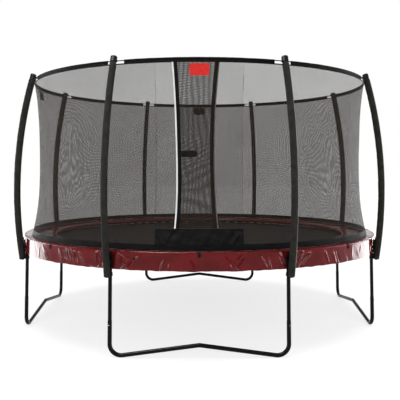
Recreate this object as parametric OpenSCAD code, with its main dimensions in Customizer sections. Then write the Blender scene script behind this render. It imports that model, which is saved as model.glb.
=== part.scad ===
// Round garden trampoline with a waisted safety net on eight bowed poles, millimetres, +Z up.
// The origin is on the ground at the centre of the ring, and the doorway faces -Y.

/* [Frame ring] */
// Radius of the ring's centre line
ring_r = 2135; // [1700:5:2600]
// Height of the ring's centre line above the ground
ring_z = 965; // [780:5:1180]
// Outer diameter of the ring tube
ring_tube_d = 42; // [38:1:52]
// Wall of the ring tube
ring_wall = 2; // [1.5:0.1:3]
// Length of the reduced spigot that enters the next ring section
spigot_len = 60; // [40:1:90]

/* [Legs] */
// Angle from a leg's middle to each of its uprights
post_half_angle = 23.45; // [20:0.05:25]
// Outward lean of the uprights towards the ground
splay = 1.6; // [0:0.1:3]
// Outer diameter of the upright tube
upright_d = 38; // [32:1:42]
// Wall of the leg tubes
leg_wall = 1.6; // [1.2:0.1:2.5]
// Height of the foot tube's upper ends
foot_top_z = 353; // [250:1:450]
// Depth of each upright inside the foot tube
foot_insert = 80; // [50:1:110]
// Centre-line radius of the foot tube's bends
foot_bend_r = 110; // [80:1:150]
// Rise of the ground bar from each corner to its middle, in degrees
bar_rise = 7.5; // [3:0.1:10]
// Length of the welded socket under the ring
socket_len = 85; // [60:1:95]

/* [Net poles] */
// How far the pole's widest point stands outside the ring's centre line
pole_bulge = 105; // [95:1:150]
// Height of the pole's widest point above the ring's centre line
pole_bulge_rise = 522; // [400:1:650]
// Radius of the pole's bow
pole_arc_r = 4920; // [4400:10:6500]
// Height of the top of the pole caps
overall_h = 2880; // [2400:5:3460]
// How far the pole's lower end lies below the ring's centre line
pole_drop = 189; // [170:1:240]
// Outer diameter of the pole tube
pole_d = 28; // [22:1:30]
// Wall of the pole tube
pole_wall = 1.5; // [1.2:0.1:2.5]
// Sideways thickness of the foam sleeve
sleeve_w = 60; // [54:1:70]
// Inward thickness of the foam sleeve
sleeve_depth = 72; // [64:1:84]
// Height of the cap on a pole
cap_h = 58; // [45:1:75]
// Height of a pole clamp
clamp_h = 34; // [28:1:40]
// Wall of a pole clamp around its tubes
clamp_wall = 5; // [3:0.5:6]
// Diameter of the clamp bolts
bolt_d = 8; // [6:1:8]

/* [Mat and springs] */
// Springs in one section of the ring
springs_per_section = 12; // [8:1:13]
// Distance from the mat's edge to the ring's centre line
spring_gap = 265; // [240:1:300]
// Thickness of the mat
mat_t = 3; // [2:0.5:4]
// Coil diameter of a spring
spring_d = 26; // [20:1:30]
// Wire diameter of a spring
spring_wire = 3.6; // [3:0.1:4]
// Width of the webbing folded round the mat's edge
mat_webbing_w = 50; // [40:1:70]

/* [Safety pad] */
// Width of the pad from its inner to its outer edge
pad_w = 385; // [330:1:420]
// Thickness of the pad
pad_t = 48; // [35:1:55]
// Height of the skirt that hangs from the pad's outer edge, from the pad's top
skirt_drop = 180; // [140:1:200]
// Thickness of the skirt
skirt_t = 3; // [2:0.5:4]
// Half width of the opening in the skirt at each post
skirt_notch = 60; // [52:1:75]

/* [Net] */
// Thickness of the net
net_t = 2; // [1.5:0.5:3]
// How far inside the ring's centre line the net stands on the pad
net_inset = 73; // [60:1:90]
// Depth of the net's waist below the top rim's radius
waist_depth = 46; // [30:1:70]
// Share of the net's height at which the waist lies
waist_share = 0.55; // [0.45:0.01:0.65]
// Diameter of the rod in the top hem
rod_d = 10; // [8:1:12]
// Height of the top hem
hem_h = 46; // [40:1:60]
// Half width of the opening in the hem at each pole
hem_notch = 90; // [70:1:110]
// Height of the solid band at the net's foot
band_h = 54; // [40:1:70]

/* [Doorway] */
// Angle from the doorway's middle to each flap's hinge line
door_half_angle = 12; // [10:0.1:14]
// Angle from the doorway's middle to the outer flap's free edge
outer_edge_angle = 6.6; // [4:0.1:8]
// Angle from the doorway's middle to the inner flap's free edge
inner_edge_angle = 4.8; // [3:0.1:8]
// Height of the sill panel above the band
sill_h = 150; // [120:1:200]
// Width of the band sewn along a flap's free edge
edge_band_w = 36; // [25:1:45]
// Diameter of the piping on a flap's free edge
piping_d = 9; // [6:1:10]
// Distance of each flap from the net's surface
flap_offset = 9; // [7:1:14]
// Length of the closure tab
tab_len = 160; // [120:1:180]
// Width of the closure tab
tab_w = 60; // [45:1:70]
// Height of the closure tab's middle above the ground
tab_z = 1946; // [1700:5:2100]
// Width of a sewn label
label_w = 186; // [120:1:200]
// Height of a sewn label
label_h = 110; // [80:1:120]

/* [Hidden] */
$fn = 96;
POSTS = ["right_front", "right_back", "back_right", "back_left",
         "left_back", "left_front", "front_left", "front_right"];
LEGS = ["right", "back", "left", "front"];
QUARTERS = ["right_front", "right_back", "left_back", "left_front"];

fit = 0.2;              // radial play of one tube in another
leg_play = 0.4;         // radial play of an upright in its foot tube
touch = 0.3;            // gap of a soft piece from what it lies on
over = 5;               // how far a cutter passes the face that it opens
seam = 0.5;             // how far two fused shapes overlap
bend_swell = 0.4;       // extra radius of a tube in its bends
posts = len(POSTS);
legs = len(LEGS);
section_angle = 360 / posts;
quarter_angle = 360 / len(QUARTERS);

ring_tube_r = ring_tube_d / 2;
upright_r = upright_d / 2;
foot_tube_r = upright_r + leg_play + leg_wall;
socket_wall = 3;
socket_r = upright_r + fit + socket_wall;
foot_r = ring_r + ring_z * tan(splay);
socket_foot_z = ring_z - ring_tube_r - socket_len;
upright_top_z = ring_z - ring_tube_r - over;
upright_foot_z = foot_top_z - foot_insert;
foot_screw_z = foot_top_z - foot_insert / 2;
leg_screw_r = 3;

// The corner lies so low that the underside of the bend just meets the ground
corner_z = foot_tube_r - foot_bend_r * (tan(bar_rise) + 1 / cos(bar_rise) - 1);
bar_half = foot_r * sin(post_half_angle);
apex_z = corner_z + bar_half * tan(bar_rise);

pole_r = pole_d / 2;
pole_bulge_r = ring_r + pole_bulge;
pole_bulge_z = ring_z + pole_bulge_rise;
pole_foot_z = ring_z - pole_drop;
pole_cap_z = overall_h - cap_h;
pole_top_z = overall_h - cap_h / 2;
sleeve_foot_z = pole_foot_z + 8;
sleeve_shift = (sleeve_depth - sleeve_w) / 2;
lower_clamp_z = pole_foot_z + 26;
upper_clamp_z = ring_z - ring_tube_r - clamp_h / 2 - 7;
bolt_r = bolt_d / 2;
bolt_head_r = bolt_r + 3;
bolt_reach = 36;        // from a post's plane to the underside of a bolt's head
web_half = 13;          // half thickness of a clamp's web

mat_r = ring_r - spring_gap;
mat_z = ring_z;
wire_r = spring_wire / 2;
webbing_t = 2;
webbing_lip = 14;       // webbing beyond the mat's edge that holds the rings
mat_ring_wire_r = 2;
mat_ring_out = 24;      // from the webbing's edge to a ring's tip
mat_ring_r = 15;        // centre-line radius of a ring
mat_ring_tip_r = mat_r + webbing_lip + mat_ring_out;
hook_r = mat_ring_wire_r + wire_r + touch;
spring_in_r = mat_ring_tip_r + 20;
spring_out_r = ring_r - ring_tube_r - 14;
hook_bend = wire_r + 2;
hook_end_r = ring_r - (ring_tube_r - ring_wall) + 0.8 + wire_r;

pad_z = ring_z + ring_tube_r + touch;
pad_top_z = pad_z + pad_t;
pad_out_r = ring_r + ring_tube_r + 4;
pad_in_r = pad_out_r - pad_w;
skirt_foot_z = pad_top_z - skirt_drop;
skirt_band = 16;        // strip of skirt left whole above the openings
pad_round = 16;
strap_w = 20;
strap_t = 2;

rod_r = rod_d / 2;
rod_z = pole_cap_z + 14;
rod_ring_r = pole_at(rod_z) - sleeve_depth / 2 - rod_r - 1.5;
hem_foot_z = rod_z + 8 - hem_h;
hem_web_h = 11;
net_foot_z = pad_top_z + touch;
net_wall_z = net_foot_z + band_h;
net_foot_r = ring_r - net_inset;
waist_r = rod_ring_r - waist_depth;
waist_z = net_foot_z + waist_share * (hem_foot_z - net_foot_z);
waist_power = 2.8;
net_steps = 16;
door_at = -90;
sill_z = net_wall_z + touch;
flap_foot_z = sill_z + sill_h + 5;
flap_top_z = hem_foot_z - 5;
flap_gap = 0.02;        // degrees between a flap and the webbing of its hinge line
sheet_gap = 0.6;        // gap of a sewn patch from the net that it lies on
seam_gap = 0.1;         // gap between two sheets that are sewn edge to edge
outer_root = door_at + door_half_angle;
inner_root = door_at - door_half_angle;
outer_free = door_at - outer_edge_angle;
inner_free = door_at + inner_edge_angle;
band_angle = edge_band_w / waist_r * 180 / PI;
piping_angle = piping_d / waist_r * 180 / PI;
tab_root = outer_free + band_angle + piping_angle + 0.1;
tab_t = 3;
label_t = 1.5;

function post_angle(i) = floor(i / 2) * 90 + (i % 2 == 0 ? -post_half_angle : post_half_angle);
function polar(r, a, z) = [r * cos(a), r * sin(a), z];
function unit(v) = v / norm(v);
function turn(a, b) = acos(unit(a) * unit(b));
function upright_at(z) = foot_r - z * tan(splay);
function pole_at(z) = pole_bulge_r - pole_arc_r + sqrt(pow(pole_arc_r, 2) - pow(z - pole_bulge_z, 2));
function pole_lean(z) = asin((z - pole_bulge_z) / pole_arc_r);
function bolt_at(z, leg_r) = (upright_at(z) + leg_r + pole_at(z) - pole_r) / 2;
// The net narrows from its foot and from its rim to the waist by the same power of the height
function net_at(z) = z < waist_z
    ? waist_r + (net_foot_r - waist_r) * pow((waist_z - z) / (waist_z - net_foot_z), waist_power)
    : waist_r + (rod_ring_r - waist_r) * pow((z - waist_z) / (hem_foot_z - waist_z), waist_power);
// Closed outline of a sheet that follows the net, from z0 to z1, its middle off the net's by `off`
function sheet_outline(z0, z1, off, t) = concat(
    [for (i = [0 : net_steps]) let (z = z0 + (z1 - z0) * i / net_steps) [net_at(z) + off - t / 2, z]],
    [for (i = [net_steps : -1 : 0]) let (z = z0 + (z1 - z0) * i / net_steps) [net_at(z) + off + t / 2, z]]);
function corner_points(x, y, r, a0) =
    [for (i = [0 : 6]) [x + r * cos(a0 + 15 * i), y + r * sin(a0 + 15 * i)]];

function frame_at(o, x, y, z) =
    [[x.x, y.x, z.x, o.x], [x.y, y.y, z.y, o.y], [x.z, y.z, z.z, o.z], [0, 0, 0, 1]];
function bend_trim(p, i, rb) = rb * tan(turn(p[i] - p[i - 1], p[i + 1] - p[i]) / 2);

// Places its child's +Z along the line from p towards q
module along(p, q) {
    z = unit(q - p);
    x = unit(cross(z, abs(z.z) < 0.9 ? [0, 0, 1] : [1, 0, 0]));
    multmatrix(frame_at(p, x, cross(z, x), z)) children();
}

// Turns its child's XY plane into the upright plane through a post, X outwards and Y up
module post_plane(a) {
    rotate([90, 0, a]) children();
}

module elbow(corner, d1, d2, rb, r) {
    angle = turn(d1, d2);
    n = unit(cross(d1, d2));
    x = cross(d1, n);
    start = corner - d1 * rb * tan(angle / 2);
    multmatrix(frame_at(start - x * rb, x, d1, n))
        rotate_extrude(angle = angle, $fn = 180)
            translate([rb, 0]) circle(r, $fn = 48);
}

// A round bar through the points p with every corner bent to the radius rb. Each straight length
// ends a little inside a bend, which is slightly swollen, so that the two always join.
module bent_bar(p, rb, r, extra = 0) {
    last = len(p) - 1;
    for (i = [0 : last - 1]) {
        d = unit(p[i + 1] - p[i]);
        from = p[i] + d * (i == 0 ? -extra : bend_trim(p, i, rb) - seam);
        to = p[i + 1] - d * (i == last - 1 ? -extra : bend_trim(p, i + 1, rb) - seam);
        along(from, to) cylinder(r = r, h = norm(to - from), $fn = 48);
    }
    for (i = [1 : last - 1])
        elbow(p[i], unit(p[i] - p[i - 1]), unit(p[i + 1] - p[i]), rb, r + bend_swell);
}

// Part of a ring round the Z axis, from a0 to a1, with its 2D child as section
module ring_part(a0, a1) {
    rotate([0, 0, a0]) rotate_extrude(angle = a1 - a0, $fn = 360) children();
}

module ring_tube(a0, a1, r) {
    translate([0, 0, ring_z]) ring_part(a0, a1) translate([ring_r, 0]) circle(r, $fn = 48);
}

// Sweeps its 2D child along the pole's bow from z0 to z1, X of the child pointing outwards
module pole_sweep(a, z0, z1) {
    post_plane(a)
        translate([pole_bulge_r - pole_arc_r, pole_bulge_z, 0])
            rotate([0, 0, pole_lean(z0)])
                rotate_extrude(angle = pole_lean(z1) - pole_lean(z0), $fn = 360)
                    translate([pole_arc_r, 0]) children();
}

// Places its child on the pole's centre line at z, +Z along the pole and +X outwards
module on_pole(a, z) {
    post_plane(a)
        translate([pole_bulge_r - pole_arc_r, pole_bulge_z, 0])
            rotate([0, 0, pole_lean(z)])
                translate([pole_arc_r, 0, 0]) rotate([-90, 0, 0]) children();
}

// Places its child on the upright's centre line at z, +Z up the tube and +X outwards
module on_upright(a, z) {
    translate(polar(upright_at(z), a, z)) rotate([0, 0, a]) rotate([0, -splay, 0]) children();
}

module sheet(z0, z1, off, t) {
    polygon(sheet_outline(z0, z1, off, t));
}

function spring_angles(i) =
    [for (k = [0 : springs_per_section - 1]) section_angle * (i - 1 + (k + 0.5) / springs_per_section)];
function screw_angle(i) = section_angle * (i - 1) + spigot_len / 2 / ring_r * 180 / PI;

module ring_screw_hole(i) {
    rotate([0, 0, screw_angle(i)])
        translate([ring_r, 0, ring_z - ring_tube_r - over])
            cylinder(r = bolt_r + fit, h = ring_tube_r, $fn = 32);
}

module ring_section(i) {
    a0 = section_angle * (i - 1);
    a1 = a0 + section_angle - 0.01;
    spigot_angle = spigot_len / ring_r * 180 / PI;
    bore_r = ring_tube_r - ring_wall;
    spigot_r = bore_r - fit;
    socket_top_z = ring_z - ring_tube_r / 2;
    color("#1b1b1d") difference() {
        union() {
            ring_tube(a0, a1, ring_tube_r);
            ring_tube(a1 - 0.5, a1 + spigot_angle, spigot_r);
            on_upright(post_angle(i), socket_foot_z)
                cylinder(r = socket_r, h = (socket_top_z - socket_foot_z) / cos(splay), $fn = 64);
        }
        ring_tube(a0 - 1, a1 - 1, bore_r);
        ring_tube(a1 - 1.1, a1 + spigot_angle + 1, spigot_r - ring_wall);
        on_upright(post_angle(i), socket_foot_z - over)
            cylinder(r = upright_r + fit, h = (upright_top_z + 1 - socket_foot_z + over) / cos(splay),
                     $fn = 64);
        for (a = spring_angles(i))
            rotate([0, 0, a]) translate([ring_r - ring_tube_r - over, 0, mat_z])
                rotate([0, 90, 0]) cylinder(r = wire_r + 2, h = over + ring_wall + 2, $fn = 32);
        ring_screw_hole(i);
        ring_screw_hole(i + 1);
    }
}

module foot_tube(l) {
    a = l * 90;
    color("#1b1b1d") difference() {
        bent_bar(foot_path(a), foot_bend_r, foot_tube_r);
        bent_bar(foot_path(a), foot_bend_r, foot_tube_r - leg_wall, over);
        for (s = [-1, 1]) leg_screw_hole(a + s * post_half_angle);
    }
}

function foot_path(a) = [
    polar(upright_at(foot_top_z), a - post_half_angle, foot_top_z),
    polar(upright_at(corner_z), a - post_half_angle, corner_z),
    polar(upright_at(corner_z) * cos(post_half_angle), a, apex_z),
    polar(upright_at(corner_z), a + post_half_angle, corner_z),
    polar(upright_at(foot_top_z), a + post_half_angle, foot_top_z)];

module leg_screw_hole(a) {
    on_upright(a, foot_screw_z) rotate([0, 90, 0])
        cylinder(r = leg_screw_r + fit, h = foot_tube_r + over, $fn = 32);
}

module upright(i) {
    a = post_angle(i);
    color("#1b1b1d") difference() {
        on_upright(a, upright_foot_z)
            cylinder(r = upright_r, h = (upright_top_z - upright_foot_z) / cos(splay), $fn = 64);
        on_upright(a, upright_foot_z - over)
            cylinder(r = upright_r - leg_wall, $fn = 64,
                     h = (upright_top_z - upright_foot_z) / cos(splay) + 2 * over);
        leg_screw_hole(a);
    }
}

module net_pole(i) {
    color("#26262a") pole_sweep(post_angle(i), pole_foot_z, pole_top_z) difference() {
        circle(pole_r, $fn = 48);
        circle(pole_r - pole_wall, $fn = 48);
    }
}

// Room for a clamp and its bolt in the inner side of the sleeve
module clamp_room(a, z, leg_r) {
    room = 3;
    depth = 100;
    far = bolt_at(z, leg_r) + bolt_head_r + room;
    rotate([0, 0, a]) translate([far - depth, -sleeve_w, z - clamp_h / 2 - room])
        cube([depth, 2 * sleeve_w, clamp_h + 2 * room]);
    rotate([0, 0, a]) translate([far - room, -web_half - room, z - clamp_h / 2 - room])
        cube([pole_at(z) - far + room, 2 * (web_half + room), clamp_h + 2 * room]);
    translate(polar(pole_at(z), a, z - clamp_h / 2 - room))
        cylinder(r = pole_r + clamp_wall + room, h = clamp_h + 2 * room, $fn = 48);
}

module pole_sleeves() {
    color("#2b2c2a") for (i = [0 : posts - 1]) {
        a = post_angle(i);
        difference() {
            pole_sweep(a, sleeve_foot_z, pole_cap_z) difference() {
                union() {
                    for (s = [-1, 1]) translate([s * sleeve_shift, 0]) circle(sleeve_w / 2, $fn = 48);
                    square([2 * sleeve_shift, sleeve_w], center = true);
                }
                circle(pole_r + fit, $fn = 48);
            }
            clamp_room(a, lower_clamp_z, upright_r);
            clamp_room(a, upper_clamp_z, socket_r);
            rotate([0, 0, a]) translate([upright_at(pole_foot_z) - 60, -sleeve_w, pole_foot_z - over])
                cube([60 + upright_r + 2, 2 * sleeve_w, lower_clamp_z - pole_foot_z + over]);
        }
    }
}

module pole_caps() {
    cap_r = sleeve_w / 2 + 3;
    edge = 14;
    arm_w = 24;
    arm_h = rod_d + 8;
    below = 20;
    dome = corner_points(cap_r - edge, cap_h - edge, edge, 0);
    color("#0e0e10") for (i = [0 : posts - 1]) {
        a = post_angle(i);
        difference() {
            union() {
                on_pole(a, pole_cap_z) rotate_extrude($fn = 96)
                    polygon(concat([[0, touch], [cap_r, touch]], dome, [[0, cap_h]]));
                rotate([0, 0, a]) translate([rod_ring_r - rod_r - 5, -arm_w / 2, rod_z - arm_h / 2])
                    cube([pole_at(rod_z) - rod_ring_r - 10, arm_w, arm_h]);
            }
            on_pole(a, pole_cap_z) translate([0, 0, -below])
                cylinder(r = pole_r + fit, h = below + cap_h / 2 + 4, $fn = 48);
            rod_torus(rod_r + fit);
        }
    }
}

// Figure-of-eight clamp round the leg and the pole, with a bolt hole through its web
module clamp(a, z, leg_r) {
    difference() {
        union() {
            translate(polar(upright_at(z), a, z - clamp_h / 2))
                cylinder(r = leg_r + clamp_wall, h = clamp_h, $fn = 64);
            translate(polar(pole_at(z), a, z - clamp_h / 2))
                cylinder(r = pole_r + clamp_wall, h = clamp_h, $fn = 64);
            rotate([0, 0, a]) translate([upright_at(z), -web_half, z - clamp_h / 2])
                cube([pole_at(z) - upright_at(z), 2 * web_half, clamp_h]);
        }
        on_upright(a, z - clamp_h) cylinder(r = leg_r + fit, h = 2 * clamp_h, $fn = 64);
        pole_sweep(a, z - clamp_h, z + clamp_h) circle(pole_r + fit, $fn = 48);
        clamp_bolt_axis(a, z, leg_r) translate([0, 0, -2 * web_half])
            cylinder(r = bolt_r + fit, h = 4 * web_half, $fn = 32);
    }
}

// Puts its child's +Z across the post, through the clamp's web
module clamp_bolt_axis(a, z, leg_r) {
    translate(polar(bolt_at(z, leg_r), a, z)) rotate([90, 0, a]) children();
}

module pole_clamps() {
    color("#101012") for (i = [0 : posts - 1]) {
        clamp(post_angle(i), lower_clamp_z, upright_r);
        clamp(post_angle(i), upper_clamp_z, socket_r);
    }
}

module clamp_bolts() {
    color("#1a1a1c") for (i = [0 : posts - 1], z = [lower_clamp_z, upper_clamp_z])
        clamp_bolt_axis(post_angle(i), z, z == lower_clamp_z ? upright_r : socket_r) {
            translate([0, 0, -bolt_reach]) cylinder(r = bolt_r, h = 2 * bolt_reach, $fn = 32);
            translate([0, 0, bolt_reach - 0.1]) cylinder(r = bolt_head_r, h = 10, $fn = 32);
            translate([0, 0, -bolt_reach - 5.9]) cylinder(r = bolt_r + 2.5, h = 6, $fn = 32);
            for (s = [-1, 1]) translate([0, 0, s * (web_half + 1.6) - 1.5])
                cylinder(r = bolt_head_r, h = 3, $fn = 32);
        }
}

module ring_screws() {
    head_h = 5;
    color("#3a3a3d") for (i = [0 : posts - 1])
        rotate([0, 0, screw_angle(i)]) translate([ring_r, 0, ring_z - ring_tube_r]) {
            translate([0, 0, -head_h]) cylinder(r = bolt_head_r, h = head_h, $fn = 32);
            translate([0, 0, -seam]) cylinder(r = bolt_r, h = 2 * ring_wall + 5, $fn = 32);
        }
}

module leg_screws() {
    head_r = 5.5;
    head_h = 3.5;
    start = upright_r - leg_wall - 3;
    color("#3a3a3d") for (i = [0 : posts - 1])
        on_upright(post_angle(i), foot_screw_z) rotate([0, 90, 0]) {
            translate([0, 0, foot_tube_r]) cylinder(r = head_r, h = head_h, $fn = 32);
            translate([0, 0, start]) cylinder(r = leg_screw_r, h = foot_tube_r - start + 1, $fn = 32);
        }
}

module jumping_mat() {
    color("#2b2c2e") translate([0, 0, mat_z - mat_t / 2]) cylinder(r = mat_r, h = mat_t, $fn = 360);
}

module mat_webbing() {
    half = mat_t / 2 + touch;
    outer = half + webbing_t;
    color("#161617") translate([0, 0, mat_z]) rotate_extrude($fn = 360) polygon([
        [mat_r - mat_webbing_w, half], [mat_r - mat_webbing_w, outer], [mat_r + webbing_lip, outer],
        [mat_r + webbing_lip, -outer], [mat_r - mat_webbing_w, -outer], [mat_r - mat_webbing_w, -half],
        [mat_r + touch, -half], [mat_r + touch, half]]);
}

// Wire rings, each sewn into the webbing on one side and held by a spring's hook on the other
module mat_rings() {
    color("#9a9ca0") for (i = [0 : posts - 1], a = spring_angles(i)) rotate([0, 0, a])
        translate([mat_ring_tip_r - mat_ring_r, 0, mat_z])
            rotate_extrude($fn = 72) translate([mat_ring_r, 0]) circle(mat_ring_wire_r, $fn = 24);
}

// One spring in the XZ plane: coil body, the hook round a ring's tip and the hook through the ring tube
module spring() {
    color("#a9abae") translate([0, 0, mat_z]) {
        translate([spring_in_r, 0, 0]) rotate([0, 90, 0])
            cylinder(r = spring_d / 2, h = spring_out_r - spring_in_r, $fn = 32);
        translate([mat_ring_tip_r, 0, hook_r]) rotate([0, 90, 0])
            cylinder(r = wire_r, h = spring_in_r - mat_ring_tip_r + 1, $fn = 24);
        translate([mat_ring_tip_r, 0, 0]) rotate([90, 0, 0]) rotate([0, 0, 90])
            rotate_extrude(angle = 180, $fn = 64) translate([hook_r, 0]) circle(wire_r, $fn = 24);
        translate([spring_out_r - 1, 0, 0]) rotate([0, 90, 0])
            cylinder(r = wire_r, h = hook_end_r - hook_bend - spring_out_r + 1, $fn = 24);
        translate([hook_end_r - hook_bend, 0, hook_bend]) rotate([90, 0, 0]) rotate([0, 0, -90])
            rotate_extrude(angle = 90, $fn = 64) translate([hook_bend, 0]) circle(wire_r, $fn = 24);
    }
}

module springs() {
    for (i = [0 : posts - 1], a = spring_angles(i)) rotate([0, 0, a]) spring();
}

// One quarter of the padded cover: a soft slab over the springs and the skirt outside the ring
module pad(l) {
    a = l * 90;
    half_gap = 0.006;
    edge_round = 6;
    outline = concat(
        [[pad_out_r, skirt_foot_z], [pad_out_r - skirt_t, skirt_foot_z], [pad_out_r - skirt_t, pad_z],
         [pad_in_r + pad_round / 2, pad_z], [pad_in_r, pad_z + pad_round / 2]],
        [for (k = [0 : 6]) [pad_in_r + pad_round * (1 - cos(15 * k)),
                            pad_top_z - pad_round * (1 - sin(15 * k))]],
        [for (k = [0 : 6]) [pad_out_r - edge_round * (1 - sin(15 * k)),
                            pad_top_z - edge_round * (1 - cos(15 * k))]]);
    color("#7d1119") difference() {
        ring_part(a - quarter_angle / 2 + half_gap, a + quarter_angle / 2 - half_gap) polygon(outline);
        for (s = [-1, 1]) rotate([0, 0, a + s * post_half_angle])
            translate([pad_out_r - 40, -skirt_notch, skirt_foot_z - over])
                cube([60, 2 * skirt_notch, pad_z - skirt_band - skirt_foot_z + over]);
    }
}

// A flat band of webbing from p to q, its width along w
module band_between(p, q, w, width, t) {
    z = unit(q - p);
    x = unit(w - z * (w * z));
    multmatrix(frame_at(p, x, cross(z, x), z))
        translate([-width / 2, -t / 2, 0]) cube([width, t, norm(q - p)]);
}

// Two straps at each post, from the net's foot over the pad's edge down to the lower clamp's bolt
module pad_straps() {
    top = pad_top_z + touch + strap_t / 2;
    edge_r = pad_out_r + 2;
    start_r = net_foot_r + 3;
    loop_y = 31;
    color("#121214") for (i = [0 : posts - 1], s = [-1, 1]) rotate([0, 0, post_angle(i)]) {
        start = [start_r, s * (skirt_notch + 20), top];
        edge = [edge_r + 1, s * (skirt_notch + 6), top];
        shoulder = [edge_r + strap_w / 2, s * (skirt_notch + 6), top];
        loop = [bolt_at(lower_clamp_z, upright_r), s * loop_y, lower_clamp_z];
        band_between(start, edge, [0, 1, 0], strap_w, strap_t);
        band_between(shoulder + [0, 0, 1], loop + [0, 0, bolt_r + 4], [1, 0, 0], strap_w, strap_t);
        translate(loop) rotate([90, 0, 0]) difference() {
            cylinder(r = bolt_r + 6, h = 4, center = true, $fn = 48);
            cylinder(r = bolt_r + fit, h = 6, center = true, $fn = 48);
        }
    }
}

// Short ties that join the pad's quarters and hold its edge midway between the posts
module pad_ties() {
    tie_w = 16;
    inwards = 30;
    drop = 60;
    color("#121214") for (k = [0 : posts - 1]) rotate([0, 0, k * section_angle]) {
        translate([pad_out_r - inwards, -tie_w / 2, pad_top_z + touch])
            cube([inwards + touch + strap_t, tie_w, strap_t]);
        translate([pad_out_r + touch, -tie_w / 2, pad_top_z - drop]) cube([strap_t, tie_w, drop + 1]);
    }
}

module rod_torus(r) {
    translate([0, 0, rod_z]) rotate_extrude($fn = 360) translate([rod_ring_r, 0]) circle(r, $fn = 32);
}

module top_rod_ring() {
    color("#151517") rod_torus(rod_r);
}

// Webbing round the rim, with a sleeve over the rod between each pair of poles
module top_hem() {
    notch = hem_notch / rod_ring_r * 180 / PI;
    web_t = 4;
    join_z = hem_foot_z + hem_web_h - 2;
    bore_r = (rod_r + touch) / cos(15);
    color("#121214") {
        translate([0, 0, hem_foot_z]) rotate_extrude($fn = 360)
            translate([rod_ring_r - web_t / 2, 0]) square([web_t, hem_web_h]);
        for (i = [0 : posts - 1])
            ring_part(post_angle(i) + notch, post_angle(i + 1) - notch) difference() {
                union() {
                    translate([rod_ring_r, rod_z]) circle(bore_r + 3.5, $fn = 12);
                    polygon([[rod_ring_r - 1.5, join_z], [rod_ring_r + 1.5, join_z],
                             [rod_ring_r + rod_r + 2, rod_z], [rod_ring_r - rod_r - 2, rod_z]]);
                }
                translate([rod_ring_r, rod_z]) circle(bore_r, $fn = 12);
            }
    }
}

module net_wall(q) {
    span = (360 - 2 * door_half_angle) / len(QUARTERS);
    a0 = outer_root + q * span;
    gap = seam_gap / waist_r * 180 / PI;
    color("#6b6b6a") ring_part(a0 + gap, a0 + span - gap)
        sheet(net_wall_z, hem_foot_z - seam_gap, 0, net_t);
}

module net_lower_band() {
    color("#121214") rotate_extrude($fn = 360) sheet(net_foot_z, net_wall_z, 0, net_t + 1);
}

module door_sill() {
    color("#1f2021") ring_part(inner_root, outer_root) sheet(net_wall_z, net_wall_z + sill_h, 0, net_t + 1);
}

module outer_flap_net() {
    color("#6b6b6a") ring_part(outer_free + piping_angle + band_angle, outer_root - flap_gap)
        sheet(flap_foot_z, flap_top_z, flap_offset, net_t);
}

module outer_flap_binding() {
    color("#f2f2f0") ring_part(outer_free, outer_free + piping_angle)
        sheet(flap_foot_z, flap_top_z, flap_offset, piping_d);
    color("#121214") ring_part(outer_free + piping_angle - 0.01, outer_free + piping_angle + band_angle)
        sheet(flap_foot_z, flap_top_z, flap_offset, net_t + 2);
}

module inner_flap_net() {
    color("#6b6b6a") ring_part(inner_root + flap_gap, inner_free - piping_angle - band_angle)
        sheet(flap_foot_z, flap_top_z, -flap_offset, net_t);
}

module inner_flap_binding() {
    color("#f2f2f0") ring_part(inner_free - piping_angle, inner_free)
        sheet(flap_foot_z, flap_top_z, -flap_offset, piping_d);
    color("#121214") ring_part(inner_free - piping_angle - band_angle, inner_free - piping_angle + 0.01)
        sheet(flap_foot_z, flap_top_z, -flap_offset, net_t + 2);
}

// Webbing down each hinge line, which carries the flap beside it
module door_jambs() {
    jamb = 0.7;
    t = flap_offset + 1 - net_t / 2 - sheet_gap;
    off = net_t / 2 + sheet_gap + t / 2;
    color("#161617") {
        ring_part(outer_root, outer_root + jamb) sheet(flap_foot_z, flap_top_z, off, t);
        ring_part(inner_root - jamb, inner_root) sheet(flap_foot_z, flap_top_z, -off, t);
    }
}

module closure_tab() {
    r = net_at(tab_z) + flap_offset + net_t / 2 + sheet_gap;
    mid = tab_root + tab_len / 2 / r * 180 / PI;
    color("#0e0e10") rotate([0, 0, mid]) translate([r, 0, tab_z])
        rotate([90, 0, 90]) linear_extrude(tab_t) union() {
            translate([-tab_len / 2, -tab_w / 2]) square([tab_len - tab_w / 2, tab_w]);
            translate([tab_len / 2 - tab_w / 2, 0]) circle(tab_w / 2, $fn = 64);
        }
}

module label_at(a, z1, off) {
    half = label_w / 2 / rod_ring_r * 180 / PI;
    color("#b3141c") ring_part(a - half, a + half)
        sheet(z1 - label_h, z1, off + net_t / 2 + sheet_gap + label_t / 2, label_t);
}

module door_label() {
    label_at(door_at, flap_top_z - 8, flap_offset);
}

module net_labels() {
    for (a = [door_at + 180, door_at + 270]) label_at(a, hem_foot_z - 8, 0);
}

for (i = [0 : posts - 1]) {
    ring_section(i);
    upright(i);
    net_pole(i);
}
for (l = [0 : legs - 1]) {
    foot_tube(l);
    pad(l);
    net_wall(l);
}
pole_sleeves();
pole_caps();
pole_clamps();
clamp_bolts();
ring_screws();
leg_screws();
top_rod_ring();
top_hem();
net_lower_band();
door_sill();
outer_flap_net();
outer_flap_binding();
inner_flap_net();
inner_flap_binding();
door_jambs();
closure_tab();
door_label();
net_labels();
pad_straps();
pad_ties();
jumping_mat();
mat_webbing();
mat_rings();
springs();
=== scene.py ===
"""Looks of a round garden trampoline with a waisted safety net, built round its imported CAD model."""

import math

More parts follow.
